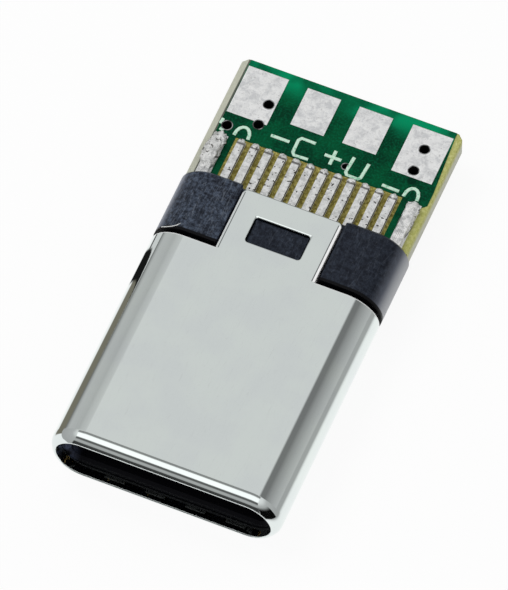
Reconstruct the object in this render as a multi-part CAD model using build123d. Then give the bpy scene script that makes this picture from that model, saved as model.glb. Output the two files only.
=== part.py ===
from build123d import *
import os
from math import sqrt

# A flat, reversible data and power plug with 24 contacts, soldered to a small board.
# Sizes are in millimetres. X runs across the plug, Y from its mouth to the back of the
# board, and Z up, out of the board's face that has the wire pads. The origin is the
# centre of the mouth.

# Shell: one piece of deep-drawn stainless steel, with a tongue at its top and bottom rear
SHELL_WIDTH = 8.25
SHELL_HEIGHT = 2.40
SHELL_WALL = 0.25
SHELL_LENGTH = 8.62  # to the rear edge beside the tongues
SHOULDER_RADIUS = 0.55  # rounding round the mouth
LIP_WALL = 0.29  # the lip is turned in a little all round the mouth
LIP_FACE = 0.05  # flat ring round the mouth
LIP_DEPTH = 0.40  # length of the lip, along Y
LIP_BEVEL = 0.03
TONGUE_WIDTH = 3.55
TONGUE_LENGTH = 2.48
TONGUE_CORNER = 0.20
WINDOW_WIDTH = 2.00
WINDOW_LENGTH = 1.02
WINDOW_INSET = 0.58  # behind the shell's rear edge
WINDOW_CORNER = 0.12
MOUTH_WIDTH = SHELL_WIDTH - 2 * LIP_WALL
MOUTH_HEIGHT = SHELL_HEIGHT - 2 * LIP_WALL
BORE_WIDTH = SHELL_WIDTH - 2 * SHELL_WALL
BORE_HEIGHT = SHELL_HEIGHT - 2 * SHELL_WALL
TONGUE_END = SHELL_LENGTH + TONGUE_LENGTH
WINDOW_START = SHELL_LENGTH + WINDOW_INSET
WINDOW_END = WINDOW_START + WINDOW_LENGTH

# Front housing: a moulding behind the lip, which guides the mating part
FIT_GAP = 0.03  # between a moulding and the shell round it
NOSE_START_GAP = 0.02  # between the lip and the moulding
NOSE_BACK_WALL = 0.42
CAVITY_SIDE_WALL = 0.395
CAVITY_WALL = 0.46  # over and under the cavity
CAVITY_CORNER = 0.18
ENTRY_SIDE_WALL = 0.345  # beside the cavity's wider first step
ENTRY_WALL = 0.30
ENTRY_LENGTH = 1.18
ENTRY_CORNER = 0.30
ENTRY_LEAD = 0.10
INSERT_WIDTH = BORE_WIDTH - 2 * FIT_GAP
INSERT_HEIGHT = BORE_HEIGHT - 2 * FIT_GAP
CAVITY_WIDTH = INSERT_WIDTH - 2 * CAVITY_SIDE_WALL
CAVITY_HEIGHT = INSERT_HEIGHT - 2 * CAVITY_WALL
ENTRY_WIDTH = INSERT_WIDTH - 2 * ENTRY_SIDE_WALL
ENTRY_HEIGHT = INSERT_HEIGHT - 2 * ENTRY_WALL
NOSE_START = LIP_DEPTH + NOSE_START_GAP
ENTRY_END = NOSE_START + ENTRY_LENGTH

# Contact wafers: two mouldings, each round a row of contacts, pegged to each other
WAFER_LENGTH = 2.93
WAFER_REAR_INSET = 0.07  # ahead of the shell's rear edge
PEG_DIAMETER = 0.80
PEG_OFFSET = 1.75
PEG_END_COVER = 0.06  # from a peg's end to the other row of contacts
PEG_GAP = 0.03
WAFER_END = SHELL_LENGTH - WAFER_REAR_INSET
WAFER_START = WAFER_END - WAFER_LENGTH
NOSE_END = WAFER_START
CAVITY_END = NOSE_END - NOSE_BACK_WALL

# Rear housing: moulded round the tails, with a shoulder on each side of each tongue
HOUSING_GAP = 0.18  # open gap behind the shell's rear edge
HOUSING_OVERHANG = 0.18  # past the tongues
SHOULDER_BEVEL = 0.10
TONGUE_SIDE_GAP = 0.09
TONGUE_FLOOR_GAP = 0.03
BOSS_SIDE_GAP = 0.05
BOSS_DROP_FRONT = 0.13  # below the tongue's outer face
BOSS_DROP_REAR = 0.07
SHOULDER_START = SHELL_LENGTH + HOUSING_GAP
HOUSING_END = TONGUE_END + HOUSING_OVERHANG
RECESS_FLOOR = BORE_HEIGHT / 2 - TONGUE_FLOOR_GAP

# Board: glass-epoxy laminate between the two rows of tails
BOARD_SIDE_INSET = 0.125  # each side, inside the shell's width
BOARD_LENGTH = 5.02
BOARD_DEPTH = 0.80  # from the level of the shell's outer face down to the board's
BOARD_CORNER = 0.18
COPPER = 0.03  # tinned copper of the pads and lands
MASK = 0.02
MASK_MARGIN = 0.25  # bare laminate along each side
MASK_FLARE = 0.16  # the mask is widest on the right, a little behind the tails' ends
MASK_FLARE_LENGTH = 0.53
MASK_CORNER = 0.14
BOARD_WIDTH = SHELL_WIDTH - 2 * BOARD_SIDE_INSET
BOARD_THICKNESS = SHELL_HEIGHT - 2 * BOARD_DEPTH
BOARD_START = HOUSING_END
BOARD_END = BOARD_START + BOARD_LENGTH
BOARD_TOP = BOARD_THICKNESS / 2
LAND_TOP = BOARD_TOP + COPPER
MASK_HALF_WIDTH = BOARD_WIDTH / 2 - MASK_MARGIN

# Contacts: two rows of stamped copper alloy blades, with their tails on the board
CONTACTS_PER_ROW = 12
ROW_SIDE_MARGIN = 0.70  # from the cavity's side to the middle of the outer contact
CONTACT_THICKNESS = 0.15
BLADE_WIDTH = 0.22
TAIL_WIDTH = 0.27
TAIL_SHOULDER = 0.08  # where the blade widens, inside the wafer
TAIL_ON_BOARD = 1.77
TIP_SETBACK = 1.43  # behind the front of the front housing
TIP_RISE = 0.09  # from the cavity's face out to the middle of the tip
CREST_SETBACK = 1.98
CREST_REACH = 0.09  # from the cavity's face in to the middle of the crest
BEAM_ROOT = 0.70  # ahead of the cavity's back wall
BEND_RADIUS = 0.30
FIRST_MATE_LEAD = 0.20  # the ground and power blades reach further forward
FIRST_MATE_CONTACTS = (0, 3, 8, 11)
SLOT_SIDE_GAP = 0.04
SLOT_FRONT_GAP = 0.10
SLOT_ROOF_GAP = 0.16
LAND_SIDE = 0.01  # how far a land shows beside its tail
LAND_FRONT_INSET = 0.12
LAND_REACH = 0.12  # past the tail's end
TAIL_WINDOW_REACH = 0.22  # bare laminate past the tails' ends
TAIL_WINDOW_SIDE = 0.135
PITCH = (CAVITY_WIDTH - 2 * ROW_SIDE_MARGIN) / (CONTACTS_PER_ROW - 1)
TIP_HEIGHT = CAVITY_HEIGHT / 2 + TIP_RISE
CREST_HEIGHT = CAVITY_HEIGHT / 2 - CREST_REACH
TAIL_START = WAFER_START + TAIL_SHOULDER
TAIL_END = BOARD_START + TAIL_ON_BOARD
TAIL_LOW = LAND_TOP
TAIL_HIGH = TAIL_LOW + CONTACT_THICKNESS
TAIL_MIDDLE = (TAIL_LOW + TAIL_HIGH) / 2
ROW_HALF_WIDTH = (PITCH * (CONTACTS_PER_ROW - 1) + TAIL_WIDTH) / 2
TAIL_WINDOW_END = TAIL_END + TAIL_WINDOW_REACH

# Latch plate: stamped spring steel between the wafers, with a hooked arm on each side
LATCH_THICKNESS = 0.20
LATCH_SIDE_GAP = 0.075
PLATE_FRONT_INSET = 0.33  # behind the wafers' front
PLATE_REAR_INSET = 0.20  # ahead of the wafers' rear
ARM_WIDTH = 0.30
ARM_TIP_SETBACK = 1.13  # behind the front of the front housing
ARM_ROOT_RADIUS = 0.25
ARM_SLOT_GAP = 0.05
HOOK_REACH = 0.30
HOOK_RAMP = 0.30
HOOK_FLAT = 0.28
HOOK_BACK = 0.17
HOOK_RADIUS = 0.06
LEG_WIDTH = 0.36
LEG_ON_BOARD = 1.72
LEG_STEP_SETBACK = 0.50  # behind the shoulders' front
LEG_STEP_LENGTH = 0.80
LEG_BEND_RADIUS = 0.30
GROUND_LAND_SIDE = 0.065
GROUND_LAND_LENGTH = 1.91
PEG_GRIP = TAIL_LOW - LATCH_THICKNESS / 2 - PEG_END_COVER
LATCH_HALF_WIDTH = BORE_WIDTH / 2 - LATCH_SIDE_GAP
LATCH_PLATE_START = WAFER_START + PLATE_FRONT_INSET
LATCH_PLATE_END = WAFER_END - PLATE_REAR_INSET
LATCH_TIP = NOSE_START + ARM_TIP_SETBACK
LEG_OFFSET = MASK_HALF_WIDTH - GROUND_LAND_SIDE - LEG_WIDTH / 2
LEG_MIDDLE = LAND_TOP + LATCH_THICKNESS / 2
GROUND_LAND_END = BOARD_START + GROUND_LAND_LENGTH

# Ground springs: thin stamped plates let into the front housing's top and bottom
SPRING_THICKNESS = 0.08
SPRING_SIDE_MARGIN = 0.65  # inside the cavity's side
SPRING_LENGTH = 2.20
SPRING_SETBACK = 0.10  # behind the cavity's first step
SPRING_GAP = 0.02
FINGERS = 4
FINGER_SIDE_MARGIN = 0.275  # from the plate's side to the outer finger
FINGER_WIDTH = 0.70
FINGER_LENGTH = 0.72
FINGER_CREST = 0.18  # behind the finger's tip
FINGER_ROOT = 0.20
FINGER_CREST_REACH = 0.12  # into the cavity's first step
FINGER_TIP_REACH = 0.04
FINGER_BEND_RADIUS = 0.10
FINGER_WINDOW_GAP = 0.06
SPRING_WIDTH = CAVITY_WIDTH - 2 * SPRING_SIDE_MARGIN
FINGER_PITCH = (SPRING_WIDTH - 2 * FINGER_SIDE_MARGIN - FINGER_WIDTH) / (FINGERS - 1)
FINGER_CREST_HEIGHT = ENTRY_HEIGHT / 2 - FINGER_CREST_REACH
FINGER_TIP_HEIGHT = ENTRY_HEIGHT / 2 - FINGER_TIP_REACH
SPRING_START = ENTRY_END + SPRING_SETBACK
SPRING_END = SPRING_START + SPRING_LENGTH
FINGER_TIP = SPRING_START - FINGER_LENGTH
POCKET_FLOOR = INSERT_HEIGHT / 2 - SPRING_THICKNESS - SPRING_GAP

# Wire pads on the board's top: an outer pair and a shorter inner pair
OUTER_PAD_WIDTH = 1.46
OUTER_PAD_SIDE_MARGIN = 0.03  # inside the mask's side edge
OUTER_PAD_FRONT_MARGIN = 0.83  # behind the bare laminate round the tails
OUTER_PAD_BACK_MARGIN = 0.25
INNER_PAD_WIDTH = 1.21
INNER_PAD_FRONT_MARGIN = 1.18
INNER_PAD_BACK_MARGIN = 0.30
INNER_PAD_SPACING = 1.89  # between the pair's centres
OUTER_PAD_OFFSET = MASK_HALF_WIDTH - OUTER_PAD_SIDE_MARGIN - OUTER_PAD_WIDTH / 2
OUTER_PAD_START = TAIL_WINDOW_END + OUTER_PAD_FRONT_MARGIN
OUTER_PAD_END = BOARD_END - OUTER_PAD_BACK_MARGIN
INNER_PAD_START = TAIL_WINDOW_END + INNER_PAD_FRONT_MARGIN
INNER_PAD_END = BOARD_END - INNER_PAD_BACK_MARGIN

# Plated holes. The place of a hole at an outer pad is its side, its distance inwards from
# the pad's middle, and how far along the pad it is, as a share of the pad's length.
HOLE_BORE = 0.34
SMALL_HOLE_BORE = 0.22
BARREL_WALL = 0.03
PAD_HOLE_PLACES = [(-1, 0.48, 0.40), (-1, 0.47, -0.04), (1, 0.01, 0.605), (1, 0.03, 0.14)]
LAND_HOLE_OUTSET = 0.49  # outwards from the left outer pad's middle
LAND_HOLE_GAP = 0.40  # behind the ground land
SMALL_HOLE_OFFSET = 0.79
SMALL_HOLE_GAP = 0.36  # behind the bare laminate round the tails

# Solder
BLOB_LENGTH = 0.34
BLOB_COVER = 0.06  # above the tail
BLOB_SLOPE = 0.11  # length of the slope at each end
BLOB_BEVEL = 0.05
GROUND_SOLDER_LENGTH = 1.55
GROUND_SOLDER_COVER = 0.06  # above the leg
GROUND_SOLDER_SLOPE = 0.12
GROUND_SOLDER_BEVEL = 0.035
GROUND_SOLDER_INSET = 0.03  # inside the land's back edge
GROUND_SOLDER_SIDE_INSET = 0.015

OVERRUN = 0.10  # how far a cutting block runs past the face that it opens
TOUCH = 0.01  # tolerance for picking edges by their place


def prism(section, start, end):
    """A solid of one section, seen from the mouth, between two depths."""
    return extrude(Plane.XZ.offset(-start) * section, amount=start - end)


def block(x_low, x_high, y_low, y_high, z_low, z_high):
    size = (x_high - x_low, y_high - y_low, z_high - z_low)
    return Pos(x_low, y_low, z_low) * Box(*size, align=(Align.MIN, Align.MIN, Align.MIN))


def slab(outline, z_low, z_high):
    """A solid of one outline, seen from above, between two heights."""
    return extrude(Plane.XY.offset(z_low) * outline, amount=z_high - z_low)


def side_solid(outline, x_low, width):
    """A solid of one outline, seen from the side, across a width."""
    return extrude(make_face(Plane.YZ.offset(x_low) * outline), amount=width, dir=(1, 0, 0))


def strip(points, radius, width, thickness, x_middle):
    """A bent strip: its centre line lies in a YZ plane and its width along X."""
    path = Plane.YZ.offset(x_middle) * FilletPolyline(*points, radius=radius)
    start = Plane(origin=path @ 0, x_dir=(1, 0, 0), z_dir=path % 0)
    return sweep(start * Rectangle(width, thickness), path=path)


def rectangle(x_middle, width, y_low, y_high):
    return Pos(x_middle, (y_low + y_high) / 2) * Rectangle(width, y_high - y_low)


def turned_over(shape):
    """The same piece for the lower side, turned half a turn about the plug's own axis."""
    return shape.rotate(Axis.Y, 180)


def both_sides(shape):
    return shape + shape.mirror(Plane.YZ)


def edges_across(shape, direction, place):
    """The edges along one direction that stand at one depth."""
    edges = shape.edges().filter_by(direction)
    return edges.filter_by_position(Axis.Y, place - TOUCH, place + TOUCH)


def contact_places():
    first = -PITCH * (CONTACTS_PER_ROW - 1) / 2
    return [first + PITCH * index for index in range(CONTACTS_PER_ROW)]


def contact_bar(x_middle, width, start, end):
    """A straight length of contact at the height of the tails."""
    return block(x_middle - width / 2, x_middle + width / 2, start, end, TAIL_LOW, TAIL_HIGH)


# Shell
def make_shell():
    # The shoulder's arc ends at the flat ring, so a full rounding starts a little ahead.
    drop = LIP_WALL - LIP_FACE
    ahead = SHOULDER_RADIUS - sqrt(SHOULDER_RADIUS ** 2 - (SHOULDER_RADIUS - drop) ** 2)
    outer = prism(SlotOverall(SHELL_WIDTH, SHELL_HEIGHT), -ahead, TONGUE_END)
    outer = fillet(outer.faces().sort_by(Axis.Y)[0].edges(), SHOULDER_RADIUS)
    outer -= block(-SHELL_WIDTH, SHELL_WIDTH, -SHOULDER_RADIUS, 0, -SHELL_HEIGHT, SHELL_HEIGHT)
    shell = outer - prism(SlotOverall(MOUTH_WIDTH, MOUTH_HEIGHT), 0, LIP_DEPTH)
    lip = shell.faces().sort_by(Axis.Y)[0].inner_wires()[0].edges()
    shell = chamfer(lip, LIP_BEVEL)
    shell -= prism(SlotOverall(BORE_WIDTH, BORE_HEIGHT), LIP_DEPTH, TONGUE_END)
    beside_tongues = block(TONGUE_WIDTH / 2, SHELL_WIDTH, SHELL_LENGTH, TONGUE_END + OVERRUN,
                           -SHELL_HEIGHT, SHELL_HEIGHT)
    shell -= both_sides(beside_tongues)
    shell = fillet(edges_across(shell, Axis.Z, TONGUE_END), TONGUE_CORNER)
    window = RectangleRounded(WINDOW_WIDTH, WINDOW_LENGTH, WINDOW_CORNER)
    window = Pos(0, (WINDOW_START + WINDOW_END) / 2) * window
    return shell - slab(window, -SHELL_HEIGHT, SHELL_HEIGHT)


# Front housing
def make_front_housing():
    body = prism(SlotOverall(INSERT_WIDTH, INSERT_HEIGHT), NOSE_START, NOSE_END)
    body -= prism(RectangleRounded(CAVITY_WIDTH, CAVITY_HEIGHT, CAVITY_CORNER), NOSE_START, CAVITY_END)
    body -= prism(RectangleRounded(ENTRY_WIDTH, ENTRY_HEIGHT, ENTRY_CORNER), NOSE_START, ENTRY_END)
    entry = body.faces().sort_by(Axis.Y)[0].inner_wires()[0].edges()
    body = chamfer(entry, ENTRY_LEAD)
    upper = contact_slots() + spring_pocket()
    body -= upper
    body -= turned_over(upper)
    return body - both_sides(arm_slot())


def contact_slots():
    """A channel over each contact, in which its blade rises when the plug mates."""
    half = BLADE_WIDTH / 2 + SLOT_SIDE_GAP
    roof = TAIL_HIGH + SLOT_ROOF_GAP
    cut = Part()
    for index, x in enumerate(contact_places()):
        start = contact_tip(index) - SLOT_FRONT_GAP
        cut += block(x - half, x + half, start, NOSE_END, CAVITY_HEIGHT / 2 - OVERRUN, roof)
    return cut


def spring_pocket():
    half = SPRING_WIDTH / 2 + SPRING_GAP
    cut = block(-half, half, SPRING_START - SPRING_GAP, SPRING_END + SPRING_GAP,
                POCKET_FLOOR, SHELL_HEIGHT / 2)
    half = FINGER_WIDTH / 2 + FINGER_WINDOW_GAP
    for x in finger_places():
        cut += block(x - half, x + half, FINGER_TIP - FINGER_WINDOW_GAP, SPRING_START,
                     ENTRY_HEIGHT / 2 - OVERRUN, SHELL_HEIGHT / 2)
    return cut


def arm_slot():
    half = LATCH_THICKNESS / 2 + ARM_SLOT_GAP
    inner = LATCH_HALF_WIDTH - ARM_WIDTH - ARM_SLOT_GAP
    return block(inner, SHELL_WIDTH / 2, LATCH_TIP - ARM_SLOT_GAP, NOSE_END, -half, half)


# Contacts
def contact_tip(index):
    lead = FIRST_MATE_LEAD if index in FIRST_MATE_CONTACTS else 0
    return NOSE_START + TIP_SETBACK - lead


def make_upper_contact(index, x_middle):
    tip = contact_tip(index)
    crest = tip + CREST_SETBACK - TIP_SETBACK
    root = CAVITY_END - BEAM_ROOT
    points = [(tip, TIP_HEIGHT), (crest, CREST_HEIGHT), (root, TAIL_MIDDLE), (TAIL_START, TAIL_MIDDLE)]
    blade = strip(points, BEND_RADIUS, BLADE_WIDTH, CONTACT_THICKNESS, x_middle)
    return blade + contact_bar(x_middle, TAIL_WIDTH, TAIL_START, TAIL_END)


# Wafers
def make_upper_wafer():
    body = prism(SlotOverall(INSERT_WIDTH, INSERT_HEIGHT), WAFER_START, WAFER_END)
    body &= block(-SHELL_WIDTH, SHELL_WIDTH, WAFER_START, WAFER_END, LATCH_THICKNESS / 2, SHELL_HEIGHT)
    body += wafer_peg()
    body -= peg_socket()
    for x in contact_places():
        body -= contact_bar(x, BLADE_WIDTH, WAFER_START, TAIL_START)
        body -= contact_bar(x, TAIL_WIDTH, TAIL_START, WAFER_END)
    return body


def peg_place(side):
    return Pos(side * PEG_OFFSET, (LATCH_PLATE_START + LATCH_PLATE_END) / 2, LATCH_THICKNESS / 2)


def wafer_peg():
    reach = LATCH_THICKNESS + PEG_GRIP
    return peg_place(1) * Cylinder(PEG_DIAMETER / 2, reach, align=(Align.CENTER, Align.CENTER, Align.MAX))


def peg_socket():
    radius = PEG_DIAMETER / 2 + PEG_GAP
    depth = PEG_GRIP + PEG_GAP
    return peg_place(-1) * Cylinder(radius, depth, align=(Align.CENTER, Align.CENTER, Align.MIN))


# Latch plate
def latch_outline():
    """The right half of the stamped blank, seen from above."""
    outer = LATCH_HALF_WIDTH
    inner = outer - ARM_WIDTH
    hook = inner - HOOK_REACH
    ramp_end = LATCH_TIP + HOOK_RAMP
    flat_end = ramp_end + HOOK_FLAT
    return make_face(Polyline(
        (0, LATCH_PLATE_START), (inner, LATCH_PLATE_START), (inner, flat_end + HOOK_BACK),
        (hook, flat_end), (hook, ramp_end), (inner, LATCH_TIP), (outer, LATCH_TIP),
        (outer, LATCH_PLATE_END), (0, LATCH_PLATE_END), close=True))


def make_latch_plate():
    half = slab(latch_outline(), -LATCH_THICKNESS / 2, LATCH_THICKNESS / 2)
    root = edges_across(half, Axis.Z, LATCH_PLATE_START).sort_by(Axis.X)[-1:]
    half = fillet(root, ARM_ROOT_RADIUS)
    ramp_end = LATCH_TIP + HOOK_RAMP
    hook = edges_across(half, Axis.Z, ramp_end) + edges_across(half, Axis.Z, ramp_end + HOOK_FLAT)
    half = fillet(hook, HOOK_RADIUS)
    plate = both_sides(half + latch_leg())
    for side in (-1, 1):
        plate -= peg_place(side) * Cylinder(PEG_DIAMETER / 2 + PEG_GAP, 2 * LATCH_THICKNESS)
    return plate


def latch_leg():
    """A leg that steps up inside the rear housing and lies on the board's ground land."""
    step = SHOULDER_START + LEG_STEP_SETBACK
    points = [(LATCH_PLATE_END, 0), (step, 0), (step + LEG_STEP_LENGTH, LEG_MIDDLE),
              (BOARD_START + LEG_ON_BOARD, LEG_MIDDLE)]
    return strip(points, LEG_BEND_RADIUS, LEG_WIDTH, LATCH_THICKNESS, LEG_OFFSET)


# Ground springs
def finger_places():
    first = -FINGER_PITCH * (FINGERS - 1) / 2
    return [first + FINGER_PITCH * index for index in range(FINGERS)]


def make_upper_ground_spring():
    spring = block(-SPRING_WIDTH / 2, SPRING_WIDTH / 2, SPRING_START, SPRING_END,
                   POCKET_FLOOR, POCKET_FLOOR + SPRING_THICKNESS)
    middle = POCKET_FLOOR + SPRING_THICKNESS / 2
    points = [(FINGER_TIP, FINGER_TIP_HEIGHT), (FINGER_TIP + FINGER_CREST, FINGER_CREST_HEIGHT),
              (SPRING_START - FINGER_ROOT, middle), (SPRING_START, middle)]
    for x in finger_places():
        spring += strip(points, FINGER_BEND_RADIUS, FINGER_WIDTH, SPRING_THICKNESS, x)
    return spring


# Rear housing
def make_rear_housing():
    spigot = prism(SlotOverall(INSERT_WIDTH, INSERT_HEIGHT), WAFER_END, SHOULDER_START)
    collar = prism(SlotOverall(SHELL_WIDTH, SHELL_HEIGHT), SHOULDER_START, HOUSING_END)
    recess = tongue_recess()
    collar -= recess + turned_over(recess)
    collar = chamfer(collar.faces().sort_by(Axis.Y)[-1].outer_wire().edges(), SHOULDER_BEVEL)
    body = spigot + collar + boss() + turned_over(boss())
    for x in contact_places():
        passage = contact_bar(x, TAIL_WIDTH, WAFER_END, HOUSING_END)
        body -= passage + turned_over(passage)
    return body - both_sides(latch_leg())


def tongue_recess():
    half = TONGUE_WIDTH / 2 + TONGUE_SIDE_GAP
    return block(-half, half, SHOULDER_START, HOUSING_END, RECESS_FLOOR, SHELL_HEIGHT)


def boss():
    """The wedge that the tongue's window snaps over, lower at its front."""
    width = WINDOW_WIDTH - 2 * BOSS_SIDE_GAP
    front = WINDOW_START + BOSS_SIDE_GAP
    rear = WINDOW_END - BOSS_SIDE_GAP
    top = SHELL_HEIGHT / 2
    outline = Polyline(
        (front, RECESS_FLOOR), (front, top - BOSS_DROP_FRONT), (rear, top - BOSS_DROP_REAR),
        (rear, RECESS_FLOOR), close=True)
    return side_solid(outline, -width / 2, width)


# Board
def make_circuit_board():
    half = BOARD_WIDTH / 2
    outline = make_face(Polyline(
        (-half, BOARD_START), (half, BOARD_START), (half, BOARD_END - BOARD_CORNER),
        (half - BOARD_CORNER, BOARD_END), (BOARD_CORNER - half, BOARD_END),
        (-half, BOARD_END - BOARD_CORNER), close=True))
    return slab(outline, -BOARD_TOP, BOARD_TOP) - drilled_holes()


def all_holes():
    """The middle and bore of each hole."""
    holes = [(SMALL_HOLE_OFFSET, TAIL_WINDOW_END + SMALL_HOLE_GAP, SMALL_HOLE_BORE),
             (-OUTER_PAD_OFFSET - LAND_HOLE_OUTSET, GROUND_LAND_END + LAND_HOLE_GAP, HOLE_BORE)]
    for side, inwards, share in PAD_HOLE_PLACES:
        y = OUTER_PAD_START + share * (OUTER_PAD_END - OUTER_PAD_START)
        holes.append((side * (OUTER_PAD_OFFSET - inwards), y, HOLE_BORE))
    return holes


def drilled_holes():
    holes = Part()
    for x, y, bore in all_holes():
        holes += Pos(x, y) * Cylinder(bore / 2 + BARREL_WALL, 2 * BOARD_THICKNESS)
    return holes


def make_plated_barrels():
    barrels = []
    for x, y, bore in all_holes():
        ring = Circle(bore / 2 + BARREL_WALL) - Circle(bore / 2)
        barrels.append(slab(Pos(x, y) * ring, -BOARD_TOP, LAND_TOP))
    return Compound(children=barrels)


def wire_pad_outlines():
    """The four pads from left to right."""
    outer = rectangle(OUTER_PAD_OFFSET, OUTER_PAD_WIDTH, OUTER_PAD_START, OUTER_PAD_END)
    inner = rectangle(INNER_PAD_SPACING / 2, INNER_PAD_WIDTH, INNER_PAD_START, INNER_PAD_END)
    return [outer.mirror(Plane.YZ), inner.mirror(Plane.YZ), inner, outer]


def make_wire_pad(outline):
    return slab(outline, BOARD_TOP, LAND_TOP) - drilled_holes()


def mask_outline():
    """The mask is printed a little askew, so that its right edge flares."""
    left = -MASK_HALF_WIDTH
    right = MASK_HALF_WIDTH
    flared = right + MASK_FLARE
    return make_face(Polyline(
        (left, BOARD_START), (right, BOARD_START), (right, TAIL_WINDOW_END - MASK_CORNER),
        (flared, TAIL_WINDOW_END), (flared, TAIL_WINDOW_END + MASK_FLARE_LENGTH),
        (right, BOARD_END - BOARD_CORNER), (right, BOARD_END), (left, BOARD_END), close=True))


def tail_window():
    return rectangle(0, 2 * (ROW_HALF_WIDTH + TAIL_WINDOW_SIDE), BOARD_START, TAIL_WINDOW_END)


def ground_land():
    return rectangle(LEG_OFFSET, LEG_WIDTH + 2 * GROUND_LAND_SIDE, BOARD_START, GROUND_LAND_END)


def make_top_mask():
    outline = mask_outline() - tail_window() - both_sides(ground_land())
    for pad in wire_pad_outlines():
        outline -= pad
    return slab(outline, BOARD_TOP, BOARD_TOP + MASK) - drilled_holes()


def make_bottom_mask():
    """The lower mask closes the plated holes from below."""
    return slab(mask_outline() - tail_window(), -BOARD_TOP - MASK, -BOARD_TOP)


def make_contact_lands():
    lands = []
    for x in contact_places():
        land = rectangle(x, TAIL_WIDTH + 2 * LAND_SIDE, BOARD_START + LAND_FRONT_INSET, TAIL_END + LAND_REACH)
        lands.append(slab(land, BOARD_TOP, LAND_TOP))
    return lands


def make_ground_lands():
    land = slab(ground_land(), BOARD_TOP, LAND_TOP)
    return Compound(children=[land, land.mirror(Plane.YZ)])


# Solder
def solder_mound(x_middle, width, front, back, top, slope, bevel):
    """A mound that stands on a land, with sloping ends and bevelled sides."""
    outline = Polyline(
        (front, LAND_TOP), (front + slope, top), (back - slope, top), (back, LAND_TOP), close=True)
    mound = side_solid(outline, x_middle - width / 2, width)
    upper_edges = mound.edges() - mound.edges().filter_by(Axis.X) - mound.edges().group_by(Axis.Z)[0]
    return chamfer(upper_edges, bevel)


def make_tail_solder():
    """A small mound over the end of each tail."""
    width = TAIL_WIDTH + 2 * LAND_SIDE
    front = TAIL_END - BLOB_LENGTH / 2
    back = TAIL_END + BLOB_LENGTH / 2
    blobs = []
    for x in contact_places():
        mound = solder_mound(x, width, front, back, TAIL_HIGH + BLOB_COVER, BLOB_SLOPE, BLOB_BEVEL)
        blobs.append(mound - contact_bar(x, TAIL_WIDTH, BOARD_START, TAIL_END))
    return blobs


def make_ground_solder():
    """A coat over each leg and down past its end."""
    width = LEG_WIDTH + 2 * (GROUND_LAND_SIDE - GROUND_SOLDER_SIDE_INSET)
    back = GROUND_LAND_END - GROUND_SOLDER_INSET
    front = back - GROUND_SOLDER_LENGTH
    top = LAND_TOP + LATCH_THICKNESS + GROUND_SOLDER_COVER
    coat = solder_mound(LEG_OFFSET, width, front, back, top, GROUND_SOLDER_SLOPE, GROUND_SOLDER_BEVEL)
    coat -= latch_leg()
    return Compound(children=[coat, coat.mirror(Plane.YZ)])


def save(name, shape):
    export_step(shape, os.path.join("parts", name + ".step"))


os.makedirs("parts", exist_ok=True)
save("shell", make_shell())
save("front_housing", make_front_housing())
upper_spring = make_upper_ground_spring()
save("upper_ground_spring", upper_spring)
save("lower_ground_spring", turned_over(upper_spring))
upper_wafer = make_upper_wafer()
save("upper_contact_wafer", upper_wafer)
save("lower_contact_wafer", turned_over(upper_wafer))
save("latch_plate", make_latch_plate())
for index, x in enumerate(contact_places()):
    contact = make_upper_contact(index, x)
    save(f"upper_contact_{index + 1:02d}", contact)
    save(f"lower_contact_{index + 1:02d}", turned_over(contact))
save("rear_housing", make_rear_housing())
save("circuit_board", make_circuit_board())
save("top_solder_mask", make_top_mask())
save("bottom_solder_mask", make_bottom_mask())
save("plated_barrels", make_plated_barrels())
for index, outline in enumerate(wire_pad_outlines()):
    save(f"wire_pad_{index + 1}", make_wire_pad(outline))
lands = make_contact_lands()
save("upper_contact_lands", Compound(children=lands))
save("lower_contact_lands", Compound(children=[turned_over(land) for land in lands]))
save("ground_lands", make_ground_lands())
blobs = make_tail_solder()
save("upper_tail_solder", Compound(children=blobs))
save("lower_tail_solder", Compound(children=[turned_over(blob) for blob in blobs]))
save("ground_solder", make_ground_solder())
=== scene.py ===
import bpy
import bmesh
import math
from mathutils import Matrix, Vector, noise


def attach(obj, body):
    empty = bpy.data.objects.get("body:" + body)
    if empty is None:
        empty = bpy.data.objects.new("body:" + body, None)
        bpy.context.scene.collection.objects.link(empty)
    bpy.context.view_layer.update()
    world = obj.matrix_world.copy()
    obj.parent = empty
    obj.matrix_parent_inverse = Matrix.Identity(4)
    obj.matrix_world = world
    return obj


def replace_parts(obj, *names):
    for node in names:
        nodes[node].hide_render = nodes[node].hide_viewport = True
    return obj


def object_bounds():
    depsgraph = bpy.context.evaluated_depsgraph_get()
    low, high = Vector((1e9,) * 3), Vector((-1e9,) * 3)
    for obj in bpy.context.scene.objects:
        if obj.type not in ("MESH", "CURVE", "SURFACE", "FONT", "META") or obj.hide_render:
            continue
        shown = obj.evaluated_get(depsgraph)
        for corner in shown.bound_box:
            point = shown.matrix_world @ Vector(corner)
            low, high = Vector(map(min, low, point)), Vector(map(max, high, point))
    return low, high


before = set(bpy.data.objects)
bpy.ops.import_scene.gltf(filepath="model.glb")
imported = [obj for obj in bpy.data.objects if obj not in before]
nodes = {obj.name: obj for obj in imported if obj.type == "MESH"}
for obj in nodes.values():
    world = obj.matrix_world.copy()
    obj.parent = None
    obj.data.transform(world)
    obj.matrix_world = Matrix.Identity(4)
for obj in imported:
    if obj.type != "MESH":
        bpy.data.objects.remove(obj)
packed_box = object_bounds()

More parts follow.
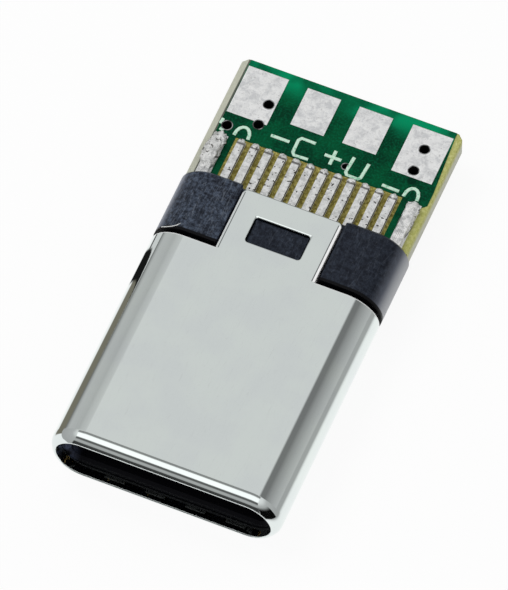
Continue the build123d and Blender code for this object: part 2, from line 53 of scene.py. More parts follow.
# The contacts are stamped copper alloy. The blades inside the mouth are plated pale gold, and
# the tails on the board are coated with rough tin, speckled with dark flux pits. The tails' flanks,
# and a stretch before each tail's end where its solder lump sits, are painted dark as shade.
GOLD_COLOR = (0.80, 0.58, 0.24)
TIN_COLOR = (0.62, 0.63, 0.62)
TIN_BRIGHT_COLOR = (0.93, 0.94, 0.93)
FLUX_AND_SHADE_COLOR = (0.045, 0.040, 0.035)
FLANK_SHADE_COLOR = (0.10, 0.085, 0.035)
CONTACT_THICKNESS = 0.15
CONTACTS_IN_A_ROW = 12
TONGUE_LENGTH = 2.48
TIN_FADE = 0.1
FLANK_FULL_DOWN = 0.03
FLANK_START_DOWN = 0.005
END_SHADE_START = 0.09
END_SHADE_FULL = 0.05

# The plug is in metres, X across it, Y from its mouth to the back of its board and Z up. Sizes
# here are written in millimetres and multiplied by MM.
MM = 0.001


def box_of(name):
    """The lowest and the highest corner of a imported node, in millimetres."""
    corners = [Vector(corner) / MM for corner in nodes[name].bound_box]
    low = Vector([min(corner[axis] for corner in corners) for axis in range(3)])
    high = Vector([max(corner[axis] for corner in corners) for axis in range(3)])
    return low, high


def add(tree, kind, inputs=None, **settings):
    """Adds a node to a tree. An input is a plain value, or another node's socket to join it to."""
    node = tree.nodes.new(kind)
    for name, value in settings.items():
        setattr(node, name, value)
    for name, value in (inputs or {}).items():
        if isinstance(value, bpy.types.NodeSocket):
            tree.links.new(value, node.inputs[name])
        else:
            node.inputs[name].default_value = value
    return node


def finish(name, color, metallic=0.0, roughness=0.5, specular=0.5):
    """A material with one Principled shader. Returns the material, its tree and the shader."""
    material = bpy.data.materials.new(name)
    material.use_nodes = True
    tree = material.node_tree
    shader = tree.nodes["Principled BSDF"]
    shader.inputs["Base Color"].default_value = (*color, 1)
    shader.inputs["Metallic"].default_value = metallic
    shader.inputs["Roughness"].default_value = roughness
    shader.inputs["Specular IOR Level"].default_value = specular
    return material, tree, shader


def place_in_mm(tree):
    """The point on the piece, in millimetres."""
    point = add(tree, "ShaderNodeTexCoord").outputs["Object"]
    return add(tree, "ShaderNodeVectorMath", {0: point, "Scale": 1 / MM}, operation="SCALE").outputs[0]


def split(tree, vector):
    node = add(tree, "ShaderNodeSeparateXYZ", {"Vector": vector})
    return node.outputs["X"], node.outputs["Y"], node.outputs["Z"]


def noise_value(tree, vector, scale, detail=3.0, roughness=0.5, distortion=0.0):
    inputs = {"Vector": vector, "Scale": scale, "Detail": detail, "Roughness": roughness,
              "Distortion": distortion}
    return add(tree, "ShaderNodeTexNoise", inputs).outputs["Fac"]


def remap(tree, value, low, high, to_low=0.0, to_high=1.0, smooth=True):
    """Maps low..high to to_low..to_high and holds it there."""
    kind = "SMOOTHSTEP" if smooth else "LINEAR"
    inputs = {"Value": value, "From Min": low, "From Max": high, "To Min": to_low, "To Max": to_high}
    return add(tree, "ShaderNodeMapRange", inputs, interpolation_type=kind).outputs["Result"]


def calculate(tree, operation, first, second=0.0):
    return add(tree, "ShaderNodeMath", {0: first, 1: second}, operation=operation).outputs[0]


def blend_colors(tree, factor, first, second):
    inputs = {0: factor, 6: (*first, 1) if isinstance(first, tuple) else first,
              7: (*second, 1) if isinstance(second, tuple) else second}
    return add(tree, "ShaderNodeMix", inputs, data_type="RGBA").outputs[2]


def relief(tree, shader, height, depth_mm, edge_mm=0.0):
    """Shades a height of 0 to 1 as a relief of that depth, and rounds the edges a little."""
    bump = add(tree, "ShaderNodeBump", {"Height": height, "Distance": depth_mm * MM})
    if edge_mm:
        rounded = add(tree, "ShaderNodeBevel", {"Radius": edge_mm * MM}, samples=8)
        tree.links.new(rounded.outputs["Normal"], bump.inputs["Normal"])
    tree.links.new(bump.outputs["Normal"], shader.inputs["Normal"])


def dress(names, material):
    for name in names:
        mesh = nodes[name].data
        mesh.materials.clear()
        mesh.materials.append(material)


def new_effect(name, value_names):
    """A node group that makes one mask. Returns it, its inputs and the socket for the mask."""
    effect = bpy.data.node_groups.new(name, "ShaderNodeTree")
    effect.interface.new_socket("Vector", in_out="INPUT", socket_type="NodeSocketVector")
    for value_name in value_names:
        effect.interface.new_socket(value_name, in_out="INPUT", socket_type="NodeSocketFloat")
    effect.interface.new_socket("Mask", in_out="OUTPUT", socket_type="NodeSocketFloat")
    given = effect.nodes.new("NodeGroupInput").outputs
    return effect, given, effect.nodes.new("NodeGroupOutput").inputs["Mask"]


def effect_mask(tree, effect, inputs):
    """Places an effect in a material's tree with its own values, and returns its mask."""
    return add(tree, "ShaderNodeGroup", inputs, node_tree=effect).outputs["Mask"]


# Frost is the pale crystal skin on tin that set in air. It lies where a rough noise is high.
FROST_FULL = 0.60
tin_frost, given, frost_out = new_effect("tin_frost", ["Grains per mm", "Bare up to"])
grains = noise_value(tin_frost, given["Vector"], given["Grains per mm"], detail=6.0, roughness=0.75)
tin_frost.links.new(remap(tin_frost, grains, given["Bare up to"], FROST_FULL), frost_out)

# Flux pits are small dark hollows that burnt flux leaves in tin and solder.
flux_pits, given, pits_out = new_effect("flux_pits", ["Pits per mm", "Detail", "None up to", "Full from"])
hollows = noise_value(flux_pits, given["Vector"], given["Pits per mm"], detail=given["Detail"])
flux_pits.links.new(remap(flux_pits, hollows, given["None up to"], given["Full from"]), pits_out)

TONGUE_END = box_of("shell")[1].y
SHELL_END = TONGUE_END - TONGUE_LENGTH
LAND_TOP = box_of("upper_contact_lands")[1].z
TAIL_TOP = LAND_TOP + CONTACT_THICKNESS
TAIL_END = box_of("upper_contact_01")[1].y
plated_blade, tree, shader = finish("plated_contact", TIN_COLOR, metallic=0.6, roughness=0.38)
point = place_in_mm(tree)
y, z = split(tree, point)[1:]
tinned = remap(tree, y, SHELL_END, SHELL_END + TIN_FADE)
frost = effect_mask(tree, tin_frost, {"Vector": point, "Grains per mm": 5.0, "Bare up to": 0.38})
pits = effect_mask(tree, flux_pits, {"Vector": point, "Pits per mm": 9.0, "Detail": 1.5, "None up to": 0.64,
                                     "Full from": 0.68})
tin = blend_colors(tree, frost, TIN_COLOR, TIN_BRIGHT_COLOR)
tin = blend_colors(tree, pits, tin, FLUX_AND_SHADE_COLOR)
height = calculate(tree, "ABSOLUTE", z)
# The tails' flanks below their top face are painted dark: painted shade beside each tail.
flank_shade = remap(tree, height, TAIL_TOP - FLANK_FULL_DOWN, TAIL_TOP - FLANK_START_DOWN, 0.92, 0.0)
# Just before each tail's end, where its solder lump sits, the tin is painted dark as shade.
end_shade = remap(tree, y, TAIL_END - END_SHADE_START, TAIL_END - END_SHADE_FULL, 0.0, 0.8)
tin = blend_colors(tree, flank_shade, tin, FLANK_SHADE_COLOR)
tin = blend_colors(tree, end_shade, tin, FLUX_AND_SHADE_COLOR)
color = blend_colors(tree, tinned, GOLD_COLOR, tin)
tree.links.new(color, shader.inputs["Base Color"])
tree.links.new(remap(tree, frost, 0.0, 1.0, 0.32, 0.5), shader.inputs["Roughness"])
relief(tree, shader, noise_value(tree, point, 9.0, detail=3.0), 0.02, edge_mm=0.03)
for row in ("upper", "lower"):
    dress([f"{row}_contact_{number:02d}" for number in range(1, CONTACTS_IN_A_ROW + 1)], plated_blade)

# The latch plate and the two ground springs are stamped spring steel, duller than the shell, with
# the fine lines of rolled strip along them. Inside the mouth they are painted dark as shade, and the
# latch plate's legs are tinned bright where they come out on the board.
STRIP_COLOR = (0.40, 0.40, 0.39)
STRIP_DARK_COLOR = (0.30, 0.30, 0.29)
STRIP_LIGHT_COLOR = (0.48, 0.48, 0.47)
MOUTH_SHADE_COLOR = (0.03, 0.03, 0.035)
MOUTH_SHADE_FADE = (5.0, 3.5)
LEG_TIN_COLOR = (0.50, 0.51, 0.51)
LEG_TIN_BRIGHT_COLOR = (0.93, 0.93, 0.92)
LEG_TIN_UNDER_TONGUE = 0.2
LEG_START = TONGUE_END - LEG_TIN_UNDER_TONGUE
spring_steel, tree, shader = finish("spring_steel", STRIP_COLOR, metallic=1.0, roughness=0.3)
point = place_in_mm(tree)
strip_lines = add(tree, "ShaderNodeMapping", {"Vector": point, "Scale": (12.0, 0.5, 12.0)}).outputs["Vector"]
rolled = noise_value(tree, strip_lines, 2.0, detail=3.0)
y = split(tree, point)[1]
color = blend_colors(tree, rolled, STRIP_DARK_COLOR, STRIP_LIGHT_COLOR)
color = blend_colors(tree, remap(tree, y, *MOUTH_SHADE_FADE, 0.0, 0.8), color, MOUTH_SHADE_COLOR)
tinned = remap(tree, y, LEG_START, LEG_START + TIN_FADE)
frost = effect_mask(tree, tin_frost, {"Vector": point, "Grains per mm": 4.5, "Bare up to": 0.40})
leg_tin = blend_colors(tree, frost, LEG_TIN_COLOR, LEG_TIN_BRIGHT_COLOR)
color = blend_colors(tree, tinned, color, leg_tin)
tree.links.new(color, shader.inputs["Base Color"])
tree.links.new(remap(tree, tinned, 0.0, 1.0, 1.0, 0.5), shader.inputs["Metallic"])
tree.links.new(remap(tree, rolled, 0.3, 0.7, 0.2, 0.34), shader.inputs["Roughness"])
relief(tree, shader, rolled, 0.001, edge_mm=0.02)
dress(["latch_plate", "upper_ground_spring", "lower_ground_spring"], spring_steel)

# The front housing is glass-filled plastic, moulded deep black, and lines the mouth. A faint blue
# sheen is painted on the left end of the mouth: a painted highlight where it catches the light.
MOUTH_COLOR = (0.003, 0.003, 0.005)
MOUTH_SHEEN_COLOR = (0.05, 0.06, 0.10)
SHEEN_ACROSS = (-3.1, -3.6)
SHEEN_ALONG = (2.4, 0.6)
mouth_plastic, tree, shader = finish("deep_black_plastic", MOUTH_COLOR, roughness=0.6, specular=0.08)
point = place_in_mm(tree)
x, y = split(tree, point)[:2]
sheen = calculate(tree, "MULTIPLY", remap(tree, x, *SHEEN_ACROSS), remap(tree, y, *SHEEN_ALONG))
sheen = calculate(tree, "MULTIPLY", sheen, remap(tree, noise_value(tree, point, 2.5), 0.40, 0.62))
tree.links.new(blend_colors(tree, sheen, MOUTH_COLOR, MOUTH_SHEEN_COLOR), shader.inputs["Base Color"])
relief(tree, shader, noise_value(tree, point, 18.0, detail=3.0), 0.002)
dress(["front_housing"], mouth_plastic)

# The shell is deep-drawn stainless steel, tumbled bright, with faint clouds from the rolled
# sheet. Its window's rear edge is pressed down a little. Painted shade draws a dark line in the
# fine groove along each side of its tongue, and the tongue's rear end is painted darker. Painted
# highlights draw a bright strip along each edge of the tongue, widest outside the right groove,
# and a bright rim on the cut beside the tongue.
STEEL_COLOR = (0.787, 0.845, 0.822)
STEEL_CLOUD_COLOR = (0.762, 0.813, 0.807)
HAIRLINE_COLOR = (0.45, 0.45, 0.45)
CUT_HIGHLIGHT_COLOR = (0.98, 0.98, 0.98)
DARK_LINE_COLOR = (0.04, 0.04, 0.04)
STEEL_EDGE = 0.04
TONGUE_HALF_WIDTH = 1.775
PAST_EDGE = 0.1
WINDOW_HALF_WIDTH = 1.0
WINDOW_MARGIN = 0.88
WINDOW_END = TONGUE_END - WINDOW_MARGIN
PRESSED_WIDTH = 0.055
PRESSED_DEPTH = 0.018
PRESSED_START = 0.3
PRESSED_FULL = 0.2
HIGHLIGHT_WIDTH = 0.085
PAINTED_LINES_STOP = 0.12
GROOVE_WIDTH = 0.035
LEFT_GROOVE_INSET = 0.06
LEFT_GROOVE_WIDTH = 0.03
RIM_WIDTH = 0.03
RIM_START = SHELL_END - RIM_WIDTH
REAR_CUT = 0.035
REAR_CUT_START = TONGUE_END - REAR_CUT


def within(tree, value, low, high, softness):
    """1 where the value lies between low and high, and 0 elsewhere, with soft ends."""
    middle = (low + high) / 2
    off_middle = calculate(tree, "ABSOLUTE", calculate(tree, "SUBTRACT", value, middle))
    half = (high - low) / 2
    return remap(tree, off_middle, half - softness / 2, half + softness / 2, 1.0, 0.0)


def blend_values(tree, factor, first, second):
    inputs = {0: factor, 2: first, 3: second}
    return add(tree, "ShaderNodeMix", inputs, data_type="FLOAT").outputs[0]


# Hairlines are fine handling marks, as parts get in a tray with others. They follow the level
# lines of two noises that are drawn out into long curves.
HAIRLINE_TURNS = ((0.5, 0.09), (1.9, 0.14))
hairlines, given, hairlines_out = new_effect("hairlines", ["Lines per mm", "Width"])
line_sets = []
for turn, stretch in HAIRLINE_TURNS:
    turned = add(hairlines, "ShaderNodeMapping", {
        "Vector": given["Vector"], "Rotation": (0.0, 0.0, turn), "Scale": (1.0, stretch, 0.4)})
    lines = noise_value(hairlines, turned.outputs["Vector"], given["Lines per mm"], detail=2.0,
                        distortion=0.6)
    off_line = calculate(hairlines, "ABSOLUTE", calculate(hairlines, "SUBTRACT", lines, 0.5))
    line_sets.append(remap(hairlines, off_line, 0.0, given["Width"], 1.0, 0.0))
hairlines.links.new(calculate(hairlines, "MAXIMUM", *line_sets), hairlines_out)

steel, tree, shader = finish("bright_steel", STEEL_COLOR, metallic=1.0, roughness=0.05)
point = place_in_mm(tree)
x, y = split(tree, point)[:2]
clouds = remap(tree, noise_value(tree, point, 0.7, detail=4.0), 0.35, 0.65)
lines = effect_mask(tree, hairlines, {"Vector": point, "Lines per mm": 5.0, "Width": 0.006})
color = blend_colors(tree, clouds, STEEL_COLOR, STEEL_CLOUD_COLOR)
color = blend_colors(tree, calculate(tree, "MULTIPLY", lines, 0.10), color, HAIRLINE_COLOR)
on_tongue = within(tree, y, SHELL_END + 0.02, TONGUE_END - PAINTED_LINES_STOP, 0.04)
off_middle = calculate(tree, "ABSOLUTE", x)
# Painted highlights: whiter, less metallic strips along both tongue edges, widest on the right, and on the
# rim of the cut beside it.
edge_highlight = within(tree, off_middle, TONGUE_HALF_WIDTH - 0.012, TONGUE_HALF_WIDTH + PAST_EDGE, 0.004)
highlight_start = TONGUE_HALF_WIDTH - HIGHLIGHT_WIDTH
right_edge_highlight = within(tree, x, highlight_start, TONGUE_HALF_WIDTH + PAST_EDGE, 0.01)
edge_highlight = calculate(tree, "MULTIPLY", calculate(tree, "MAXIMUM", edge_highlight, right_edge_highlight), on_tongue)
beside_tongue = remap(tree, off_middle, TONGUE_HALF_WIDTH - 0.01, TONGUE_HALF_WIDTH)
rim = remap(tree, y, RIM_START - 0.005, RIM_START + 0.005, 0.0, 0.6)
edge_highlight = calculate(tree, "MAXIMUM", edge_highlight, calculate(tree, "MULTIPLY", beside_tongue, rim))
color = blend_colors(tree, edge_highlight, color, CUT_HIGHLIGHT_COLOR)
# The dark lines along both sides of the tongue are painted shade in its fine grooves, and the tongue's rear
# end is painted darker.
left_groove_start = LEFT_GROOVE_INSET - TONGUE_HALF_WIDTH
left_groove_shade = within(tree, x, left_groove_start, left_groove_start + LEFT_GROOVE_WIDTH, 0.012)
groove_shade = within(tree, x, highlight_start - GROOVE_WIDTH, highlight_start, 0.015)
groove_shade = calculate(tree, "MULTIPLY", calculate(tree, "MAXIMUM", groove_shade, left_groove_shade), on_tongue)
rear_end_dark = remap(tree, y, REAR_CUT_START, REAR_CUT_START + 0.02)
dark_lines = calculate(tree, "MAXIMUM", groove_shade, calculate(tree, "MULTIPLY", rear_end_dark, 0.6))
color = blend_colors(tree, calculate(tree, "MULTIPLY", dark_lines, 0.85), color, DARK_LINE_COLOR)
tree.links.new(color, shader.inputs["Base Color"])
tree.links.new(remap(tree, edge_highlight, 0.0, 1.0, 1.0, 0.1), shader.inputs["Metallic"])
polish = remap(tree, noise_value(tree, point, 3.0, detail=4.0), 0.3, 0.7, 0.025, 0.06)
tree.links.new(blend_values(tree, edge_highlight, polish, 0.5), shader.inputs["Roughness"])
relief(tree, shader, noise_value(tree, point, 25.0, detail=2.0), 0.0002, edge_mm=STEEL_EDGE)
pressed = remap(tree, y, WINDOW_END, WINDOW_END + PRESSED_WIDTH, 1.0, 0.0, smooth=False)
pressed = calculate(tree, "MULTIPLY", pressed, within(tree, x, -WINDOW_HALF_WIDTH, WINDOW_HALF_WIDTH, 0.08))
pressed = calculate(tree, "MULTIPLY", pressed, remap(tree, y, WINDOW_END - PRESSED_START,
                                                     WINDOW_END - PRESSED_FULL))
height = calculate(tree, "SUBTRACT", 1.0, pressed)
rounded = shader.inputs["Normal"].links[0].from_socket
bump = add(tree, "ShaderNodeBump", {"Height": height, "Distance": PRESSED_DEPTH * MM, "Normal": rounded})
tree.links.new(bump.outputs["Normal"], shader.inputs["Normal"])
dress(["shell"], steel)

# The rear housing and the wafers are glass-filled plastic, blue-black and softly mottled by the
# fibres under its skin. Hairlines run over its left shoulder, and it is paler and more mottled
# towards the left. A pale sheen is painted along its sides, the right one most, and its front
# edge is painted black with shade in the gap behind the shell.
PLASTIC_COLOR = (0.006, 0.008, 0.014)
PLASTIC_PALE_COLOR = (0.088, 0.114, 0.163)
PLASTIC_SHEEN_COLOR = (0.20, 0.22, 0.27)
PLASTIC_SIDE_SHEEN_COLOR = (0.53, 0.54, 0.55)
PLASTIC_SHADE_COLOR = (0.001, 0.001, 0.002)
SCUFF_COLOR = (0.20, 0.23, 0.28)
LEFT_FADE = (-2.0, -0.6)
RIGHT_SHEEN = (3.62, 4.12)
LEFT_SHEEN = (-3.75, -4.08)
RIGHT_SIDE_SHEEN = (3.88, 4.14)
SHOULDER_GAP = 0.18
SHADE_WIDTH = 0.13
SHADE_END = SHELL_END + SHOULDER_GAP + SHADE_WIDTH
plastic, tree, shader = finish("blue_black_plastic", PLASTIC_COLOR, roughness=0.42, specular=0.14)
point = place_in_mm(tree)
mottle = remap(tree, noise_value(tree, point, 7.0, detail=6.0, roughness=0.75), 0.36, 0.76)
x, y = split(tree, point)[:2]
# The plastic grows paler and more mottled towards the left, and its hairlines are strongest there.
toward_left = remap(tree, x, *LEFT_FADE, 1.0, 0.30)
lines = effect_mask(tree, hairlines, {"Vector": point, "Lines per mm": 4.5, "Width": 0.011})
scuffs = calculate(tree, "MULTIPLY", lines, toward_left)
color = blend_colors(tree, calculate(tree, "MULTIPLY", mottle, toward_left), PLASTIC_COLOR, PLASTIC_PALE_COLOR)
color = blend_colors(tree, calculate(tree, "MULTIPLY", scuffs, 0.35), color, SCUFF_COLOR)
# The pale sides are a painted reflection: a sheen towards the silhouettes, strongest on the right.
side_sheen = calculate(tree, "MAXIMUM", remap(tree, x, *RIGHT_SHEEN, 0.0, 0.65), remap(tree, x, *LEFT_SHEEN))
color = blend_colors(tree, side_sheen, color, PLASTIC_SHEEN_COLOR)
color = blend_colors(tree, remap(tree, x, *RIGHT_SIDE_SHEEN, 0.0, 0.65), color, PLASTIC_SIDE_SHEEN_COLOR)
# The front edge is painted black: painted shade in the gap behind the shell.
shaded = remap(tree, y, SHADE_END, SHADE_END - 0.04)
color = blend_colors(tree, shaded, color, PLASTIC_SHADE_COLOR)
tree.links.new(color, shader.inputs["Base Color"])
tree.links.new(remap(tree, mottle, 0.0, 1.0, 0.36, 0.50), shader.inputs["Roughness"])
relief(tree, shader, noise_value(tree, point, 18.0, detail=4.0), 0.003, edge_mm=0.07)
dress(["rear_housing", "upper_contact_wafer", "lower_contact_wafer"], plastic)

# The board is glass cloth in yellow-green epoxy, bare along its sides and between the tails. Its
# face shows the weave. Between the tails it is painted darker as shade, its left margin and the
# lower half of its routed sides carry a painted pale highlight, and a line of painted shade runs
# under the mask's left edge.
LAMINATE_COLOR = (0.43, 0.44, 0.12)
LAMINATE_LIGHT_COLOR = (0.62, 0.62, 0.25)
LAMINATE_SHADE_COLOR = (0.18, 0.145, 0.020)
LAMINATE_WARM_COLOR = (0.60, 0.53, 0.15)
LAMINATE_HIGHLIGHT_COLOR = (0.60, 0.61, 0.53)
UNDERCUT_SHADE_COLOR = (0.03, 0.035, 0.03)
WEAVE_RADIANS_PER_MM = 24.0
WEAVE_STRENGTH = 0.06
SIDE_HIGHLIGHT_FADE = (0.28, -0.05)
UNDERCUT_FAR = 0.055
UNDERCUT_NEAR = 0.005
TAIL_WINDOW_BACK_MARGIN = 0.22
TAIL_WINDOW_SIDE_MARGIN = 0.125
TAIL_WINDOW_END = TAIL_END + TAIL_WINDOW_BACK_MARGIN
TAIL_WINDOW_HALF_WIDTH = box_of("upper_contact_lands")[1].x + TAIL_WINDOW_SIDE_MARGIN
MASK_EDGE = -box_of("top_solder_mask")[0].x
BOARD_HALF_WIDTH = box_of("circuit_board")[1].x
BOARD_TOP = box_of("circuit_board")[1].z
laminate, tree, shader = finish("laminate", LAMINATE_COLOR, roughness=0.6, specular=0.3)
point = place_in_mm(tree)
x, y, z = split(tree, point)
warp = calculate(tree, "SINE", calculate(tree, "MULTIPLY", x, WEAVE_RADIANS_PER_MM))
weft = calculate(tree, "SINE", calculate(tree, "MULTIPLY", y, WEAVE_RADIANS_PER_MM))
weave = calculate(tree, "MULTIPLY", calculate(tree, "MULTIPLY", warp, weft), WEAVE_STRENGTH)
grain = noise_value(tree, point, 11.0, detail=5.0, roughness=0.8)
grain = remap(tree, calculate(tree, "ADD", grain, weave), 0.35, 0.68)
# Between the tails the laminate is painted darker: painted shade in the recess.
in_window = calculate(tree, "MULTIPLY",
                      within(tree, x, -TAIL_WINDOW_HALF_WIDTH, TAIL_WINDOW_HALF_WIDTH, 0.05),
                      remap(tree, y, TAIL_WINDOW_END - 0.03, TAIL_WINDOW_END + 0.03, 1.0, 0.0))
open_face = blend_colors(tree, grain, LAMINATE_COLOR, LAMINATE_LIGHT_COLOR)
shaded_window_face = blend_colors(tree, grain, LAMINATE_SHADE_COLOR, LAMINATE_WARM_COLOR)
color = blend_colors(tree, in_window, open_face, shaded_window_face)
# The left margin and the lower half of the routed sides are painted pale: a painted highlight.
in_margin = remap(tree, x, 0.01 - MASK_EDGE, -0.01 - MASK_EDGE)
on_side = remap(tree, calculate(tree, "ABSOLUTE", x), BOARD_HALF_WIDTH - 0.012, BOARD_HALF_WIDTH - 0.002)
on_side = calculate(tree, "MULTIPLY", on_side, remap(tree, z, *SIDE_HIGHLIGHT_FADE))
margin_highlight = calculate(tree, "MULTIPLY", calculate(tree, "MAXIMUM", in_margin, on_side), 0.9)
color = blend_colors(tree, margin_highlight, color, LAMINATE_HIGHLIGHT_COLOR)
# A line of painted shade runs on the laminate under the mask's left edge.
undercut_shade = within(tree, x, -MASK_EDGE - UNDERCUT_FAR, -MASK_EDGE - UNDERCUT_NEAR, 0.02)
undercut_shade = calculate(tree, "MULTIPLY", undercut_shade, remap(tree, z, BOARD_TOP - 0.02, BOARD_TOP))
color = blend_colors(tree, calculate(tree, "MULTIPLY", undercut_shade, 0.85), color, UNDERCUT_SHADE_COLOR)
tree.links.new(color, shader.inputs["Base Color"])
relief(tree, shader, grain, 0.010, edge_mm=0.04)
dress(["circuit_board"], laminate)

# The solder mask is a green lacquer printed over the copper. It is darker and lighter in soft
# ripples, lighter in fine speckles and along the board's back edge, and nearly black over one filled hole.
MASK_COLOR = (0.0, 0.072, 0.026)
MASK_DARK_COLOR = (0.0, 0.034, 0.014)
MASK_LIGHT_COLOR = (0.0, 0.27, 0.115)
FILLED_HOLE_COLOR = (0.0, 0.02, 0.01)
FILLED_HOLE_ACROSS = 3.06
FILLED_HOLE_BEHIND_TAILS = 0.94
FILLED_HOLE_RADIUS = 0.19
FILLED_HOLE_SOFTNESS = 0.06
LIGHT_BAND_START = 1.1
LIGHT_BAND_FULL = 0.15
BOARD_BACK = box_of("circuit_board")[1].y
MASK_TOP = box_of("top_solder_mask")[1].z
filled_hole = (FILLED_HOLE_ACROSS, TAIL_END + FILLED_HOLE_BEHIND_TAILS, MASK_TOP)
mask, tree, shader = finish("green_mask", MASK_COLOR, roughness=0.25, specular=0.05)
point = place_in_mm(tree)
y = split(tree, point)[1]
ripple = noise_value(tree, point, 1.1, detail=4.0)
color = blend_colors(tree, remap(tree, ripple, 0.38, 0.62), MASK_DARK_COLOR, MASK_COLOR)
near_back = remap(tree, y, BOARD_BACK - LIGHT_BAND_START, BOARD_BACK - LIGHT_BAND_FULL)
edge_noise = remap(tree, noise_value(tree, point, 0.9, detail=2.0), 0.35, 0.6, 0.25, 1.0)
color = blend_colors(tree, calculate(tree, "MULTIPLY", near_back, edge_noise), color, MASK_LIGHT_COLOR)
speckle = remap(tree, noise_value(tree, point, 14.0, detail=3.0), 0.4, 0.75, 0.0, 0.22)
color = blend_colors(tree, speckle, color, MASK_LIGHT_COLOR)
from_hole = add(tree, "ShaderNodeVectorMath", {0: point, 1: filled_hole}, operation="DISTANCE")
in_hole = remap(tree, from_hole.outputs["Value"], FILLED_HOLE_RADIUS,
                FILLED_HOLE_RADIUS - FILLED_HOLE_SOFTNESS)
color = blend_colors(tree, calculate(tree, "MULTIPLY", in_hole, 0.8), color, FILLED_HOLE_COLOR)
tree.links.new(color, shader.inputs["Base Color"])
relief(tree, shader, noise_value(tree, point, 3.0, detail=3.0), 0.006)
dress(["top_solder_mask", "bottom_solder_mask"], mask)

# The wire pads and lands are copper under hot-levelled tin, which leaves a dull silver skin with
# soft waves and grey freckles.
LEVELLED_COLOR = (0.86, 0.87, 0.87)
LEVELLED_DULL_COLOR = (0.70, 0.71, 0.72)
LEVELLED_BRIGHT_COLOR = (0.95, 0.955, 0.95)
FRECKLE_COLOR = (0.42, 0.42, 0.42)
WIRE_PAD_COUNT = 4
levelled_tin, tree, shader = finish("levelled_tin", LEVELLED_COLOR, metallic=0.45, roughness=0.42)
point = place_in_mm(tree)
waves = noise_value(tree, point, 3.5, detail=6.0, roughness=0.7, distortion=0.5)
high = remap(tree, waves, 0.36, 0.60)
freckles = remap(tree, noise_value(tree, point, 7.0, detail=5.0, roughness=0.8), 0.54, 0.68, 0.0, 0.65)
color = blend_colors(tree, high, LEVELLED_DULL_COLOR, LEVELLED_BRIGHT_COLOR)
color = blend_colors(tree, freckles, color, FRECKLE_COLOR)
tree.links.new(color, shader.inputs["Base Color"])
tree.links.new(remap(tree, high, 0.0, 1.0, 0.5, 0.36), shader.inputs["Roughness"])
relief(tree, shader, waves, 0.03)
dress([f"wire_pad_{number}" for number in range(1, WIRE_PAD_COUNT + 1)], levelled_tin)
dress(["upper_contact_lands", "lower_contact_lands", "ground_lands"], levelled_tin)

# The plated holes are copper tubes through the board. Their walls are painted near black as the
# shade deep inside them, and round their rims a little grey tin shows in patches.
HOLE_SHADE_COLOR = (0.02, 0.02, 0.02)
HOLE_DEEP_SHADE_COLOR = (0.006, 0.006, 0.006)
HOLE_RIM_COLOR = (0.35, 0.36, 0.36)
RIM_START_DOWN = 0.008
RIM_FULL_DOWN = 0.004
HOLE_RIM = box_of("plated_barrels")[1].z
hole_wall, tree, shader = finish("hole_wall", HOLE_SHADE_COLOR, roughness=0.7, specular=0.1)
point = place_in_mm(tree)
rim = remap(tree, split(tree, point)[2], HOLE_RIM - RIM_START_DOWN, HOLE_RIM - RIM_FULL_DOWN)
rim = calculate(tree, "MULTIPLY", rim, remap(tree, noise_value(tree, point, 5.0), 0.4, 0.6, 0.1, 0.9))
color = blend_colors(tree, rim, HOLE_DEEP_SHADE_COLOR, HOLE_RIM_COLOR)
tree.links.new(color, shader.inputs["Base Color"])
dress(["plated_barrels"], hole_wall)

# The solder is lead-free tin alloy. It set in a small rough lump behind each tail's end and in
# thick uneven coats on the two ground tabs, frosted on top and dark with flux in its hollows.
# Where it meets the land its foot is painted dark as shade.
SOLDER_DULL_COLOR = (0.55, 0.56, 0.55)
SOLDER_BRIGHT_COLOR = (0.96, 0.965, 0.95)
FOOT_FULL_UP = 0.01
FOOT_END_UP = 0.07
TAIL_PITCH = 0.5
LUMP_SEED = 7
LUMP_RADII = (0.145, 0.13, 0.13)
LUMP_ROUGHNESS = 0.22
LUMP_GRAIN = 1.1
LUMP_BEHIND_TAIL = 0.06
LUMP_LIFT = 0.05
LUMP_WANDER = 0.03
LUMP_WANDER_ALONG = 0.04
WANDER_STEP = 3.7
WANDER_HEIGHT = 0.5
SWELL_STEP = 7
SWELL_ROUGHNESS = 0.8
SWELL_OCTAVE_STEP = 2.0
SWELL_OCTAVES = 4
TAB_HALF_WIDTH = 0.23
COAT_END_MARGIN = 0.26
tabs_low, tabs_high = box_of("ground_solder")
TAB_MIDDLE = tabs_high.x - TAB_HALF_WIDTH
COAT_MIDDLE = (tabs_low.y + tabs_high.y) / 2
COAT_END = tabs_high.y - COAT_END_MARGIN
# Each row is the middle of a lump across, along and over the land, its radii, roughness and grain.
COAT_LUMPS = [
    (-TAB_MIDDLE - 0.02, COAT_MIDDLE, 0.10, (0.27, 0.80, 0.20), 0.30, 2.2),
    (-TAB_MIDDLE + 0.03, COAT_END, 0.10, (0.24, 0.30, 0.17), 0.35, 1.6),
    (TAB_MIDDLE + 0.02, COAT_END, 0.08, (0.25, 0.30, 0.15), 0.22, 1.4),
    (TAB_MIDDLE, COAT_MIDDLE, 0.0, (0.255, 0.80, 0.18), 0.12, 1.5),
]
solder, tree, shader = finish("solder", TIN_COLOR, metallic=0.6, roughness=0.35)
point = place_in_mm(tree)
frost = effect_mask(tree, tin_frost, {"Vector": point, "Grains per mm": 4.5, "Bare up to": 0.36})
residue = effect_mask(tree, flux_pits, {"Vector": point, "Pits per mm": 7.0, "Detail": 2.5,
                                        "None up to": 0.60, "Full from": 0.66})
color = blend_colors(tree, frost, SOLDER_DULL_COLOR, SOLDER_BRIGHT_COLOR)
color = blend_colors(tree, calculate(tree, "MULTIPLY", residue, 0.85), color, FLUX_AND_SHADE_COLOR)
height = calculate(tree, "ABSOLUTE", split(tree, point)[2])
